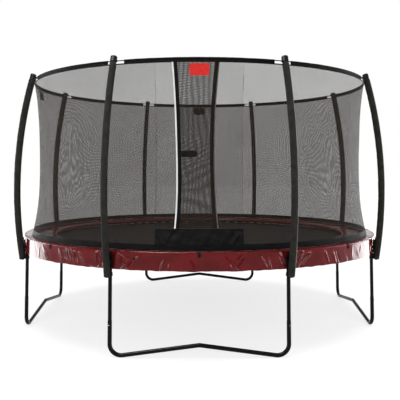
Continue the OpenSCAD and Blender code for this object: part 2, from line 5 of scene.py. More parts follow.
import bpy
import numpy as np
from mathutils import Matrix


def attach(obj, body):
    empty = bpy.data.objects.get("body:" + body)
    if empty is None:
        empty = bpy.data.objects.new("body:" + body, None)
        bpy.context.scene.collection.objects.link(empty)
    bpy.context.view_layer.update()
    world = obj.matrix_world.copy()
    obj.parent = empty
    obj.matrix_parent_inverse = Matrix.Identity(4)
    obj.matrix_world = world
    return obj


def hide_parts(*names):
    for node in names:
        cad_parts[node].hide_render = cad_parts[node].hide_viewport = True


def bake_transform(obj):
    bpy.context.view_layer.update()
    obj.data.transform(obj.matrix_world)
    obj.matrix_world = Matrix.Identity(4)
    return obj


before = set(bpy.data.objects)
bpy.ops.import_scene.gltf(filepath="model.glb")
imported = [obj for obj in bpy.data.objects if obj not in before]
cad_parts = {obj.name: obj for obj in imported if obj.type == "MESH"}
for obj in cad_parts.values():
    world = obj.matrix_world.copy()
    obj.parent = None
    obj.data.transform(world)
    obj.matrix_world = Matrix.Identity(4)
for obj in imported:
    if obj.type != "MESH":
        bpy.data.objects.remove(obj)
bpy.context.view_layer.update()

UP = np.array([0.0, 0.0, 1.0])

# Sizes that the pieces share with the CAD part, in metres and degrees.
POSTS = (-23.45, 23.45, 66.55, 113.45, 156.55, 203.45, 246.55, 293.45)
POST_OFF = 23.45
BULGE_R, BULGE_Z, ARC_R = 2.240, 1.487, 4.920
FOOT_R, SPLAY = 2.16196, math.radians(1.6)
LEG_TUBE_R, POLE_TUBE_R = 0.019, 0.014
SLEEVE_FOOT, SLEEVE_TOP = 0.784, 2.822
CLAMPS = (0.802, 0.920)
ROD_Z, ROD_RING_R = 2.836, 2.00895
HEM_FOOT, HEM_WEB = 2.798, 0.011
HEM_GAP = math.degrees(0.090 / ROD_RING_R)
NET_FOOT_R, NET_FOOT = 2.062, 1.0346
NET_WALL = 1.0886
WAIST_R, WAIST_Z, WAIST_POWER = 1.96295, 2.00447, 2.8
DOOR_LEFT, DOOR_RIGHT, BREADTH = -102.0, -78.0, 84.0
FLAP_FOOT, FLAP_TOP, FLAP_OFF = 1.2439, 2.800, 0.009
OUTER_FREE, OUTER_BINDING, OUTER_CORD = -95.29, -95.81, -96.50
INNER_FREE, INNER_BINDING, INNER_CORD = -86.51, -85.99, -85.332
BINDING_ANGLE, BINDING_T = 1.051, 0.0026
TAB_ANGLE, TAB_R, TAB_Z = -95.1865, 1.9736, 1.946
LABEL_HALF = 2.652
PAD_IN, PAD_OUT = 1.775, 2.160
PAD_FOOT, PAD_TOP, SKIRT_FOOT = 0.9863, 1.0343, 0.8543
NOTCH_TOP, NOTCH_HALF = 0.9703, math.degrees(0.037 / 2.160)
MAT_R, MAT_Z = 1.870, 0.965
WEB_IN, WEB_OUT, RING_R = 1.820, 1.884, 1.893
SECTORS, SPRINGS_EACH = 16, 6

# Drawing choices: how many degrees a flap's free edge bows out of line at each height, as cloth under tension does,
# the side each sleeve's seam turns to, in degrees from straight out, and the floor's width. The seams are turned so
# that the pale ones in front view lie along the poles' right-hand edges: partly a real seam, partly a painted rim
# highlight for the light falling from the right.
BOW_HEIGHTS = (1.24, 1.40, 1.60, 1.85, 2.10, 2.35, 2.55, 2.70, 2.80)
OUTER_BOW = (-0.05, 0.24, 0.40, 0.36, 0.20, -0.02, -0.26, -0.46, -0.62)
INNER_BOW = (0.38, 0.02, -0.30, -0.53, -0.50, -0.30, 0.10, 0.42, 0.66)
SEAM_AND_RIM_LIGHT_TURNS = (-12, 165, 190, 175, 200, 170, 185, 50)
FLOOR_R = 60.0


# ---- shapes

def wall_radius(z):
    """The net's radius at a height: the waist's, plus a power of the height above or below the waist."""
    below = (NET_FOOT_R - WAIST_R) * (np.clip(WAIST_Z - z, 0, None) / (WAIST_Z - NET_FOOT)) ** WAIST_POWER
    above = (ROD_RING_R - WAIST_R) * (np.clip(z - WAIST_Z, 0, None) / (HEM_FOOT - WAIST_Z)) ** WAIST_POWER
    return WAIST_R + below + above


def pole_radius(z):
    """The radius of a bowed pole's middle line: one circular arc whose bulge is at BULGE_Z."""
    return BULGE_R - ARC_R + np.sqrt(ARC_R**2 - (z - BULGE_Z) ** 2)


def bolt_radius(z):
    """The radius of a clamp bolt's middle: halfway between the leg's outer face and the pole's inner face."""
    return (FOOT_R - z * math.tan(SPLAY) + LEG_TUBE_R + pole_radius(z) - POLE_TUBE_R) / 2


def polar(r, angle, z):
    """Points from a radius, an angle in degrees and a height, broadcast together."""
    r, angle, z = np.broadcast_arrays(r, np.radians(angle), z)
    return np.stack([r * np.cos(angle), r * np.sin(angle), z], -1)


def outward(angle):
    """The unit vector away from the middle at an angle in degrees."""
    return polar(1.0, angle, 0.0)


def sideways(angle):
    """The unit vector along the ring, anticlockwise, at an angle in degrees."""
    return polar(1.0, np.asarray(angle) + 90.0, 0.0)


def ripple(s, seed, longest, shortest, count=7):
    """A slow uneven wave along s: count sines whose lengths fall by an even ratio from longest to shortest, added
    and scaled to about the same strength for any count."""
    rng = np.random.default_rng(seed)
    lengths = np.geomspace(longest, shortest, count)
    phases = rng.uniform(0, math.tau, count)
    return np.sin(math.tau * s[..., None] / lengths + phases).sum(-1) / math.sqrt(count)


def folds(s, drop, table):
    """Creases in hanging cloth: each row of the table is a ridge along a line that starts at s0 and leans by slope
    per metre of drop. Its height follows a bell across the line and rises and falls between two drops."""
    s, drop = np.broadcast_arrays(s, drop)
    total = np.zeros(s.shape)
    for s0, slope, width, height, first, last in table:
        middle, half = (first + last) / 2, (last - first) / 2
        along = np.clip(1 - ((drop - middle) / half) ** 2, 0, 1)
        total += height * along * np.exp(-(((s - s0 - slope * drop) / width) ** 2))
    return total


def patch(grid, uv=None, wrap_rows=False, wrap_cols=False, ends=False, material=0):
    """One quad between each four neighbours of a grid of points. A wrapped side joins its last line to its first,
    and then uv has one line more than the grid. ends closes a wrapped tube with one flat face at each end."""
    rows, cols = grid.shape[:2]
    i, j = (index.ravel() for index in np.indices((rows - (not wrap_rows), cols - (not wrap_cols))))
    row, col = np.stack([i, i, i + 1, i + 1], 1), np.stack([j, j + 1, j + 1, j], 1)
    quads = (row % rows) * cols + col % cols
    corner_uv = np.zeros((*quads.shape, 2)) if uv is None else uv[row, col]
    rims = []
    if ends and wrap_cols:
        rims = [np.arange(cols)[::-1], (rows - 1) * cols + np.arange(cols)]
    if ends and wrap_rows:
        rims = [np.arange(rows) * cols, (np.arange(rows) * cols + cols - 1)[::-1]]
    return grid.reshape(-1, 3), quads, corner_uv, rims, material


def place_object(name, data):
    """A new object in the scene, made of the data."""
    obj = bpy.data.objects.new(name, data)
    bpy.context.scene.collection.objects.link(obj)
    return obj


def piece(name, patches, materials, sharp=50.0, thick=None):
    """One object from its patches, with their corner UVs in metres. Edges sharper than the angle stay crisp, and
    thick gives a sheet its thickness on both sides of the surface."""
    points, faces, uvs, indices, start = [], [], [], [], 0
    for grid, quads, corner_uv, rims, material in patches:
        points.append(grid)
        faces += (quads + start).tolist() + [(rim + start).tolist() for rim in rims]
        uvs += [corner_uv.reshape(-1, 2)] + [np.zeros((len(rim), 2)) for rim in rims]
        indices += [material] * (len(quads) + len(rims))
        start += len(grid)
    mesh = bpy.data.meshes.new(name)
    mesh.from_pydata(np.concatenate(points).tolist(), [], faces)
    mesh.uv_layers.new(name="UVMap").uv.foreach_set("vector", np.concatenate(uvs).astype(np.float32).ravel())
    mesh.polygons.foreach_set("material_index", np.array(indices, np.int32))
    mesh.polygons.foreach_set("use_smooth", np.ones(len(faces), bool))
    for made in materials:
        mesh.materials.append(made)
    mesh.set_sharp_from_angle(angle=math.radians(sharp))
    obj = place_object(name, mesh)
    if thick:
        wall = obj.modifiers.new("thickness", "SOLIDIFY")
        wall.thickness, wall.offset = thick, 0.0
    return obj


def metres(rows, cols):
    """A UV grid in metres from the distance up each row and along each column."""
    return np.stack(np.meshgrid(cols, rows), -1)


def whole_ring(r):
    """A closed ring's angles, one to a degree, and the distance along it with the last degree counted too."""
    angle = np.linspace(0, 360, 361)
    return angle[:-1], np.radians(angle) * r


def headings(path):
    """The unit vector along a path at each of its points."""
    run = np.gradient(path, axis=0)
    return run / np.linalg.norm(run, axis=1)[:, None]


def run_length(path):
    """The distance along a path at each of its points."""
    return np.concatenate([[0], np.cumsum(np.linalg.norm(np.diff(path, axis=0), axis=1))])


def sweep(path, across, out, width, thick, section="strap", material=0):
    """A band or cord along a path: each section is laid out along the unit vectors across and out, width by thick.
    A strap's section is a rectangle with its corners cut, and a cord's is an even ring of twelve points."""
    cut = 0.7
    if section == "strap":
        side = np.array([(1, -cut), (1, cut), (0.9, 1), (-0.9, 1), (-1, cut), (-1, -cut), (-0.9, -1), (0.9, -1)])
    else:
        turn = np.arange(12) * math.pi / 6
        side = np.stack([np.cos(turn), np.sin(turn)], 1)
    run = path[1] - path[0]
    if np.dot(np.cross(across[0], out[0]), run) < 0:
        side = side[::-1]
    width, thick = np.broadcast_to(width, len(path))[:, None, None], np.broadcast_to(thick, len(path))[:, None, None]
    grid = (
        path[:, None]
        + across[:, None] * side[None, :, :1] * width / 2
        + out[:, None] * side[None, :, 1:] * thick / 2
    )
    around = np.linspace(0, 2 * float(width.max()), len(side) + 1)
    return patch(grid, metres(run_length(path), around), wrap_cols=True, ends=True, material=material)


def smooth_path(points, count):
    """A rounded line through a few points: straight runs whose corners are eased by repeated averaging."""
    points = np.asarray(points, float)
    at = run_length(points)
    line = np.stack([np.interp(np.linspace(0, at[-1], count), at, column) for column in points.T], 1)
    for _ in range(3):
        line[1:-1] = (line[:-2] + 2 * line[1:-1] + line[2:]) / 4
    return line


# ---- finishes

def linear(colour):
    """An sRGB hex colour as linear red, green, blue and alpha."""
    c = np.array([int(colour[i : i + 2], 16) for i in (1, 3, 5)]) / 255
    c = np.where(c <= 0.04045, c / 12.92, ((c + 0.055) / 1.055) ** 2.4)
    return (*c.tolist(), 1.0)


def add(tree, kind, inputs=None, **settings):
    """Adds one node: settings are its own properties, and each input is a plain value or the output that feeds it."""
    node = tree.nodes.new("ShaderNode" + kind)
    for name, value in settings.items():
        setattr(node, name, value)
    for name, value in (inputs or {}).items():
        if isinstance(value, bpy.types.NodeSocket):
            tree.links.new(value, node.inputs[name])
        else:
            node.inputs[name].default_value = value
    return node


def finish(name, colour, roughness, **sockets):
    """A material with one Principled shader. Returns it, its tree and its shader."""
    made = bpy.data.materials.new(name)
    made.use_nodes = True
    tree = made.node_tree
    shader = tree.nodes["Principled BSDF"]
    shader.inputs["Base Color"].default_value = linear(colour)
    shader.inputs["Roughness"].default_value = roughness
    for socket, value in sockets.items():
        shader.inputs[socket.replace("_", " ")].default_value = value
    return made, tree, shader


def threads(tree, pitch, turn=0.0):
    """Two crossed sets of threads on the piece's UV map, pitch metres apart: a sine across and a sine along."""
    uv = add(tree, "UVMap", uv_map="UVMap")
    scale = math.tau / pitch
    place = add(
        tree, "Mapping", {"Vector": uv.outputs["UV"], "Rotation": (0, 0, turn), "Scale": (scale, scale, scale)}
    )
    parts = add(tree, "SeparateXYZ", {"Vector": place.outputs["Vector"]})
    across = add(tree, "Math", {0: parts.outputs["X"]}, operation="SINE")
    along = add(tree, "Math", {0: parts.outputs["Y"]}, operation="SINE")
    return across.outputs[0], along.outputs[0]


def weave(tree, pitch, turn=0.0):
    """Relief of crossed threads: the sum of the two sines."""
    across, along = threads(tree, pitch, turn)
    return add(tree, "Math", {0: across, 1: along}, operation="ADD").outputs[0]


def noise(tree, per_metre, detail, source="Object"):
    """Noise from 0 to 1, about per_metre patches to a metre, in the piece's own space or on its UV map."""
    if source == "Object":
        vector = add(tree, "TexCoord").outputs["Object"]
    else:
        vector = add(tree, "UVMap", uv_map="UVMap").outputs["UV"]
    return add(tree, "TexNoise", {"Vector": vector, "Scale": per_metre, "Detail": detail}).outputs["Fac"]


def cloudy(tree, shader, dark, light, size, source="Object"):
    """Uneven colour: noise whose patches are about size metres wide mixes a darker and a lighter tone. Returns it."""
    patches = noise(tree, 1 / size, 4.0, source)
    tone = add(tree, "MapRange", {"Value": patches, "From Min": 0.35, "From Max": 0.65})
    mix = add(
        tree, "Mix", {"Factor": tone.outputs["Result"], "A": linear(dark), "B": linear(light)}, data_type="RGBA"
    )
    tree.links.new(mix.outputs["Result"], shader.inputs["Base Color"])
    return patches


def bumped(tree, shader, height, distance, strength=1.0):
    """Relief: distance metres for each unit of the height that feeds it."""
    relief = add(tree, "Bump", {"Height": height, "Distance": distance, "Strength": strength})
    tree.links.new(relief.outputs["Normal"], shader.inputs["Normal"])


def black_powder_coat():
    """Powder-coated steel tube: near black, a soft shine, and a faint orange peel a couple of millimetres wide."""
    made, tree, shader = finish("black_powder_coated_steel", "#0b0b0c", 0.3, Specular_IOR_Level=0.1)
    scuff = add(tree, "MapRange", {"Value": noise(tree, 22.0, 6.0), "To Min": 0.22, "To Max": 0.42})
    tree.links.new(scuff.outputs["Result"], shader.inputs["Roughness"])
    bumped(tree, shader, noise(tree, 500.0, 2.0), 0.0002)
    return made


def zinc_plate():
    """Zinc-plated steel: a grey metal whose bright and dull spangles are about a centimetre wide."""
    made, tree, shader = finish("zinc_plated_screws", "#b4b6b8", 0.3, Metallic=1.0)
    spangles = cloudy(tree, shader, "#6d6f70", "#b4b6b8", 0.012)
    rough = add(tree, "MapRange", {"Value": spangles, "To Min": 0.3, "To Max": 0.5})
    tree.links.new(rough.outputs["Result"], shader.inputs["Roughness"])
    return made


def coiled_steel():
    """Plated spring wire wound close. Its coils, 3.6 mm apart, are only a relief round the turned body."""
    pitch = 0.0036
    made, tree, shader = finish("zinc_plated_spring_wire", "#a3a5a6", 0.32, Metallic=1.0)
    uv = add(tree, "UVMap", uv_map="UVMap")
    parts = add(tree, "SeparateXYZ", {"Vector": uv.outputs["UV"]})
    phase = add(tree, "Math", {0: parts.outputs["Y"], 1: math.tau / pitch}, operation="MULTIPLY")
    coil = add(tree, "Math", {0: phase.outputs[0]}, operation="SINE")
    bumped(tree, shader, coil.outputs[0], 0.0012)
    return made


def moulded_plastic():
    """Injection-moulded black nylon: dark with a fine spark-eroded grain of half a millimetre."""
    made, tree, shader = finish("moulded_black_nylon", "#121213", 0.45, Specular_IOR_Level=0.12)
    bumped(tree, shader, noise(tree, 1800.0, 1.0), 0.00015)
    return made


def rod_plastic():
    """Pultruded glass-fibre rod in a black coat: faint patches about 4 mm wide and a dull shine."""
    made, tree, shader = finish("black_glass_fibre_rod", "#161617", 0.4, Specular_IOR_Level=0.25)
    cloudy(tree, shader, "#0f0f10", "#1c1c1d", 0.004)
    return made


def woven(name, colour, roughness, tones, size, pitch, depth, turn=0.0, **sockets):
    """Cloth whose colour wanders between two tones over about size metres, with a weave pitch metres wide."""
    made, tree, shader = finish(name, colour, roughness, **sockets)
    cloudy(tree, shader, *tones, size, "UV")
    bumped(tree, shader, weave(tree, pitch, turn), depth)
    return made


def trim(name, colour, lighter):
    """Satin-woven trim, smooth to the hand: an even colour with a weave a millimetre and a half wide."""
    return woven(name, colour, 0.6, (colour, lighter), 0.02, 0.0015, 0.0002, Specular_IOR_Level=0.04)


def net_cloth(name, gaps, turn=0.0, pitch=0.003, swell=0.75):
    """Knitted polyester net: near-black yarn with a warm tinge, open for gaps of its area. The holes are pitch metres
    apart, as a soft rise and fall (swell) both ways, so that two layers make the slow bands of crossed nets."""
    made, tree, shader = finish(name, "#2c2620", 0.8, Specular_IOR_Level=0.03)
    open_each_way = []
    for wave in threads(tree, pitch, turn):
        swing = add(tree, "Math", {0: wave, 1: swell, 2: 1.0}, operation="MULTIPLY_ADD")
        open_each_way.append(swing.outputs[0])
    slow = add(
        tree, "MapRange", {"Value": noise(tree, 2.0, 4.0, "UV"), "To Min": gaps - 0.05, "To Max": gaps + 0.05}
    )
    both = add(tree, "Math", {0: open_each_way[0], 1: open_each_way[1]}, operation="MULTIPLY")
    through = add(tree, "Math", {0: both.outputs[0], 1: slow.outputs["Result"]}, operation="MULTIPLY")
    alpha = add(tree, "Math", {0: 1.0, 1: through.outputs[0]}, operation="SUBTRACT", use_clamp=True)
    tree.links.new(alpha.outputs[0], shader.inputs["Alpha"])
    return made


def pad_cloth():
    """PVC-coated cloth over foam: deep wine red under a wet shine, slightly mottled, with a leather-fine print."""
    made, tree, shader = finish("glossy_pvc_coated_cloth", "#5c0609", 0.11, Specular_IOR_Level=0.2)
    cloudy(tree, shader, "#550508", "#660d10", 0.15)
    bumped(tree, shader, noise(tree, 300.0, 3.0), 0.0002, 0.4)
    return made


STEEL = black_powder_coat()
ZINC = zinc_plate()
PLASTIC = moulded_plastic()
ROD = rod_plastic()
# Woven cloths. Their weaves are drawn coarser than real ones, so that they show.
SLEEVE = woven(
    "woven_polyester_sleeve", "#2c2b28", 0.78, ("#252421", "#33322e"), 0.09, 0.004, 0.0006,
    Sheen_Weight=0.03, Specular_IOR_Level=0.06,
)
WEBBING = woven(
    "black_polypropylene_webbing", "#0d0d0d", 0.7, ("#0d0d0d", "#181817"), 0.03, 0.005, 0.0005,
    turn=math.radians(45), Specular_IOR_Level=0.06,
)
BINDING = trim("black_satin_binding", "#0a0a0a", "#131313")
PIPING = trim("white_piping", "#fbfbfa", "#ffffff")
GREY_PIPING = trim("pale_grey_piping", "#d8d8d6", "#e4e4e2")
SILL = woven(
    "coated_nylon_sill", "#111111", 0.55, ("#0e0e0e", "#181717"), 0.05, 0.003, 0.0002, Specular_IOR_Level=0.04
)
MAT = woven(
    "woven_polypropylene_mat", "#121314", 0.6, ("#0f1011", "#161718"), 0.2, 0.005, 0.0004, Specular_IOR_Level=0.1
)
# The net is one cloth, drawn in several ways: the far breadths with a wider pitch and the inner flap turned a little,
# so that crossed layers show slow bands, and the right-hand breadth with wider gaps, so that it looks paler: painted
# light, standing in for the light that falls on that side.
NET = net_cloth("knitted_polyester_front_net", 0.365)
BACK_NET = net_cloth("knitted_polyester_back_net", 0.385, pitch=0.00405, swell=0.5)
PAINTED_LIGHT_NET = net_cloth("knitted_polyester_net_painted_light", 0.43)
OUTER_NET = net_cloth("knitted_polyester_outer_flap", 0.385)
INNER_NET = net_cloth("knitted_polyester_inner_flap", 0.385, turn=math.radians(3.6))
SEAM_NET = net_cloth("net_seam_stitching", 0.8)
PAD = pad_cloth()
# Pale tape for the sleeves' seams: partly a real seam, partly a painted rim highlight on the poles' right-hand edges.
SEAM_TAPE_AND_RIM_LIGHT = trim("pale_seam_tape_and_painted_rim_light", "#a5a5a2", "#b4b4b0")
# Near-black red for the faces in the skirt's openings at the posts: painted shade for the dark gap there.
NOTCH_SHADE = trim("painted_shade_in_post_gap", "#170c0d", "#1f1213")
RED_LABEL = trim("red_woven_label", "#e0322e", "#e83a34")
BLACK_LABEL = trim("black_woven_label", "#1b1514", "#221b1a")
SPRING = coiled_steel()

HARD_FINISHES = {
    "pole_caps": PLASTIC, "pole_clamps": PLASTIC, "clamp_bolts": PLASTIC,
    "top_rod_ring": ROD, "ring_screws": ZINC, "leg_screws": ZINC,
}
for name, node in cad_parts.items():
    for held in node.material_slots:
        held.material = HARD_FINISHES.get(name, STEEL)


# ---- net

def net_panel(name, angles, heights, off, made, cols, rows, slack, warp, seed, bow=None, free_side="first"):
    """A breadth of cloth on the net's own profile, between two angles and two heights and off metres outside it.
    slack is the depth of its slow waves, which die away at its edges, and warp bends the weave by a slow sine. bow
    moves the cloth sideways by degrees, all of it at the free side and none at the sewn one."""
    (first, last), (foot, top) = angles, heights
    a, h = np.meshgrid(np.linspace(first, last, cols), np.linspace(foot, top, rows))
    s = np.radians(a) * WAIST_R
    u, v = (a - first) / (last - first), (h - foot) / (top - foot)
    edge = np.sin(math.pi * u) ** 0.5 * np.sin(math.pi * v) ** 0.5
    wave = ripple(s + 0.35 * h, seed, 0.9, 0.12) * ripple(h - 0.2 * s, seed + 1, 1.4, 0.5, 4)
    if bow is not None:
        free = 1 - u if free_side == "first" else u
        a = a + np.interp(h, BOW_HEIGHTS, bow) * free
        off = off * np.clip(free / 0.15, 0, 1)
    grid = polar(wall_radius(h) + off + slack * edge * wave, a, h)
    bend = np.stack([ripple(h + 0.3 * s, seed + 2, 0.9, 0.3, 4), ripple(s - 0.4 * h, seed + 3, 0.7, 0.25, 4)], -1)
    return piece(name, [patch(grid, np.stack([s, h], -1) + warp * bend)], [made])


# The right-front breadth's more open net is painted light: it looks paler, as light from the right makes it look.
QUARTERS = {"right_front": PAINTED_LIGHT_NET, "right_back": BACK_NET, "left_back": BACK_NET, "left_front": NET}
for k, (place, made) in enumerate(QUARTERS.items()):
    first = DOOR_RIGHT + BREADTH * k
    wall = net_panel(
        f"net_breadth_{place}", (first, first + BREADTH), (NET_WALL, HEM_FOOT + 0.002), 0.0, made, 121, 61,
        slack=0.003, warp=0.0015, seed=10 + k,
    )
    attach(wall, "frame")
    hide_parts(f"net_wall_{place}")

angle, along = whole_ring(NET_FOOT_R)
height = np.linspace(NET_FOOT, NET_WALL + 0.004, 7)
a, h = np.meshgrid(angle, height)
sway = 0.0018 * ripple(np.radians(a) * NET_FOOT_R, 40, 0.7, 0.06) * np.sin(math.pi * (h - NET_FOOT) / 0.06).clip(0, 1)
band = piece(
    "net_foot_band",
    [patch(polar(wall_radius(h) + 0.0005 + sway, a, h), metres(height, along), wrap_cols=True)],
    [BINDING],
    thick=0.0025,
)
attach(band, "frame")
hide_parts("net_lower_band")


def sill_panel():
    """The dark panel under the doorway: the net's profile with slack folds. The two seams between its three breadths
    are narrow valleys."""
    angle, z = np.linspace(DOOR_LEFT, DOOR_RIGHT, 141), np.linspace(NET_WALL + 0.001, 1.2386, 31)
    a, h = np.meshgrid(angle, z)
    sill_r, cloth_per_degree = 2.03, 0.0354
    s, rise = np.radians(a + 90) * sill_r, h - NET_WALL
    soft = np.sin(math.pi * np.clip(rise / 0.15, 0, 1)) ** 0.6
    wave = 0.003 * ripple(s - 0.5 * rise, 51, 0.35, 0.09) + 0.002 * ripple(rise + 0.35 * s, 52, 0.14, 0.06)
    table = [
        (-0.34, -0.6, 0.016, 0.009, -0.02, 0.11), (-0.30, 0.5, 0.014, -0.008, 0.02, 0.13),
        (0.30, 0.8, 0.016, 0.009, -0.01, 0.12), (0.36, -0.4, 0.013, -0.007, 0.01, 0.14),
        (0.06, 0.2, 0.02, 0.005, 0.0, 0.13), (-0.12, -0.3, 0.02, 0.004, 0.02, 0.15),
    ]
    seams = sum(0.003 * np.exp(-(((s - seam) / 0.005) ** 2)) for seam in (-0.234, 0.198))
    r = wall_radius(h) + 0.0015 + soft * wave + folds(s, rise, table) - seams
    uv = metres(z, angle * cloth_per_degree)
    return piece("door_sill_panel", [patch(polar(r, a, h), uv)], [SILL], thick=0.0015)


sill = sill_panel()
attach(sill, "frame")
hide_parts("door_sill")


def hem():
    """The folded hem, one section carried along the ring: between two poles a tear-drop round the rod that narrows
    to the seam below, and past the poles only the narrow seam."""
    patches = []
    loop_r = 0.0088
    turn = np.radians([-65, -30, 0, 30, 60, 90, 120, 150, 180, 210, 245])
    loop = np.stack([loop_r * np.cos(turn), loop_r * np.sin(turn)], 1)
    tail = np.array([(-0.0042, -0.022), (-0.0024, -0.034), (0.0024, -0.034), (0.0042, -0.022)])
    out, up = np.split(np.concatenate([loop, tail]), 2, axis=1)
    sewn = up < -0.015
    for k, post in enumerate(POSTS):
        after = (*POSTS, POSTS[0] + 360)[k + 1]
        angle = np.linspace(post + HEM_GAP, after - HEM_GAP, 49)
        s = np.radians(angle) * ROD_RING_R
        puff = 1 + 0.05 * ripple(s, 60 + k, 0.4, 0.05)
        z = ROD_Z + up * np.where(sewn, 1, puff) + 0.0008 * ripple(s, 70 + k, 0.6, 0.1) * sewn
        grid = polar(ROD_RING_R + out * puff, angle, z)
        patches.append(patch(grid, metres(np.linspace(0, 0.11, len(up) + 1), s), wrap_rows=True, ends=True))
    angle, along = whole_ring(ROD_RING_R)
    corners = np.array([(0.002, 0), (0.002, HEM_WEB), (-0.002, HEM_WEB), (-0.002, 0)])
    ring = polar(ROD_RING_R + corners[:, :1], angle, HEM_FOOT + corners[:, 1:])
    patches.append(patch(ring, metres(np.linspace(0, 0.03, 5), along), wrap_rows=True, wrap_cols=True))
    return piece("top_hem_cloth", patches, [BINDING], sharp=60)


hem_cloth = hem()
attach(hem_cloth, "frame")
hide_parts("top_hem")

jamb_parts = []
for first, last, off in ((DOOR_RIGHT, -77.85, 0.001), (-102.15, DOOR_LEFT, -0.001)):
    angle, z = np.linspace(first, last, 3), np.linspace(FLAP_FOOT, FLAP_TOP, 61)
    a, h = np.meshgrid(angle, z)
    jamb_parts.append(patch(polar(wall_radius(h) + off, a, h), metres(z, np.radians(angle) * WAIST_R)))
jambs = piece("hinge_seams", jamb_parts, [SEAM_NET])
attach(jambs, "frame")
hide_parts("door_jambs")

outer_net = net_panel(
    "outer_flap_cloth", (OUTER_FREE, DOOR_RIGHT), (FLAP_FOOT, FLAP_TOP), FLAP_OFF, OUTER_NET, 61, 81,
    slack=0.004, warp=0.0006, seed=81, bow=OUTER_BOW,
)
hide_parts("outer_flap_net")
tuple(polar(1.98, -78.0, 2.0).tolist())
tuple(polar(1.98, -83.0, 2.0).tolist())
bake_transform(outer_net)
inner_net = net_panel(
    "inner_flap_cloth", (-102.06, INNER_FREE), (FLAP_FOOT, FLAP_TOP), -FLAP_OFF, INNER_NET, 61, 81,
    slack=0.004, warp=0.0014, seed=91, bow=INNER_BOW, free_side="last",
)
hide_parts("inner_flap_net")
tuple(polar(1.96, -102.0, 2.0).tolist())
tuple(polar(1.96, -97.0, 2.0).tolist())
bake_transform(inner_net)


def edge_trim(name, middle, cord_angle, off, made, bow, thick):
    """A flap's free edge: a flat binding folded over the net and a round piping sewn along its outer side. Both
    follow the net's profile upwards and the edge's bow sideways."""
    z = np.linspace(FLAP_FOOT - 0.001, FLAP_TOP, 81)
    parts = []
    for angle, wide, deep, section, material in (
        (middle, np.radians(BINDING_ANGLE) * WAIST_R + 0.001, BINDING_T, "strap", 0),
        (cord_angle, thick, min(thick, 0.0105), "cord", 1),
    ):
        at = angle + np.interp(z, BOW_HEIGHTS, bow)
        path = polar(wall_radius(z) + off + 0.0004 * ripple(z, 95, 0.5, 0.1), at, z)
        parts.append(sweep(path, sideways(at), outward(at), wide, deep, section, material))
    return piece(name, parts, [BINDING, made])


outer_trim = edge_trim("outer_flap_edge", OUTER_BINDING, OUTER_CORD, FLAP_OFF, PIPING, OUTER_BOW, 0.0150)
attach(outer_trim, "outer_flap")
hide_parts("outer_flap_binding")
inner_trim = edge_trim("inner_flap_edge", INNER_BINDING, INNER_CORD, -FLAP_OFF, GREY_PIPING, INNER_BOW, 0.0100)
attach(inner_trim, "inner_flap")
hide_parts("inner_flap_binding")


def tab():
    """The closure tab: a flat strap along the net with a round free end. Its half width follows a circle at the
    tip, and it lifts slightly off the net towards the tip."""
    length, half = 0.160, 0.030
    x = np.concatenate([np.linspace(0, length - half, 15), length - half * (1 - np.sin(np.linspace(0.05, 1.52, 12)))])
    width = 2 * half * np.sqrt(np.clip(1 - (np.clip(x - length + half, 0, None) / half) ** 2, 0.0, 1))
    angle = TAB_ANGLE + np.degrees(x / TAB_R)
    path = polar(1.9751 + 0.0012 * (x / length) ** 2, angle, TAB_Z)
    strap = sweep(path, np.tile(UP, (len(x), 1)), outward(angle), width, 0.0028)
    return piece("closure_strap", [strap], [WEBBING], sharp=40)


closure = tab()
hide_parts("closure_tab")
tuple(polar(1.975, -95.15, 1.946).tolist())
tuple(polar(1.975, -94.0, 1.946).tolist())
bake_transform(closure)


def label(name, middle, foot, top, off, made):
    """A sewn label: a small sheet on the net's profile with its border pressed down by stitching."""
    angle, z = np.linspace(middle - LABEL_HALF, middle + LABEL_HALF, 41), np.linspace(foot, top, 31)
    a, h = np.meshgrid(angle, z)
    s = np.radians(a - middle) * ROD_RING_R
    half_w, half_h = np.radians(LABEL_HALF) * ROD_RING_R, (top - foot) / 2
    border = np.minimum(half_w - np.abs(s), half_h - np.abs(h - (foot + top) / 2))
    press = 0.0007 * np.exp(-(((border - 0.005) / 0.002) ** 2))
    grid = polar(wall_radius(h) + off - press + 0.0006 * ripple(s + h, 97, 0.2, 0.05, 4), a, h)
    return piece(name, [patch(grid, np.stack([s, h], -1))], [made], thick=0.0012)


door_patch = label("door_label_cloth", -90.0, 2.675, 2.785, 0.0113, RED_LABEL)
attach(door_patch, "outer_flap")
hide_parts("door_label")
for place, at in (("back", 90.0), ("left", 180.0)):
    net_patch = label(f"net_label_{place}", at, 2.680, 2.790, 0.0023, BLACK_LABEL)
    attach(net_patch, "frame")
    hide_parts("net_labels")


# ---- pole sleeves

def sleeve_oval(r, turn):
    """The sleeve's section: how far out and how far along the ring its surface lies at an angle round the pole."""
    return r * np.cos(turn) + 0.006 * np.tanh(3 * np.cos(turn)), r * np.sin(turn)


def round_pole(post, z, x, y):
    """Points beside a pole's middle line, x out and y along the ring, on sections square to the pole."""
    lean = np.arcsin((z - BULGE_Z) / ARC_R)
    r, h = pole_radius(z) + x * np.cos(lean), z + x * np.sin(lean)
    return outward(post) * r[..., None] + sideways(post) * np.asarray(y)[..., None] + h[..., None] * UP


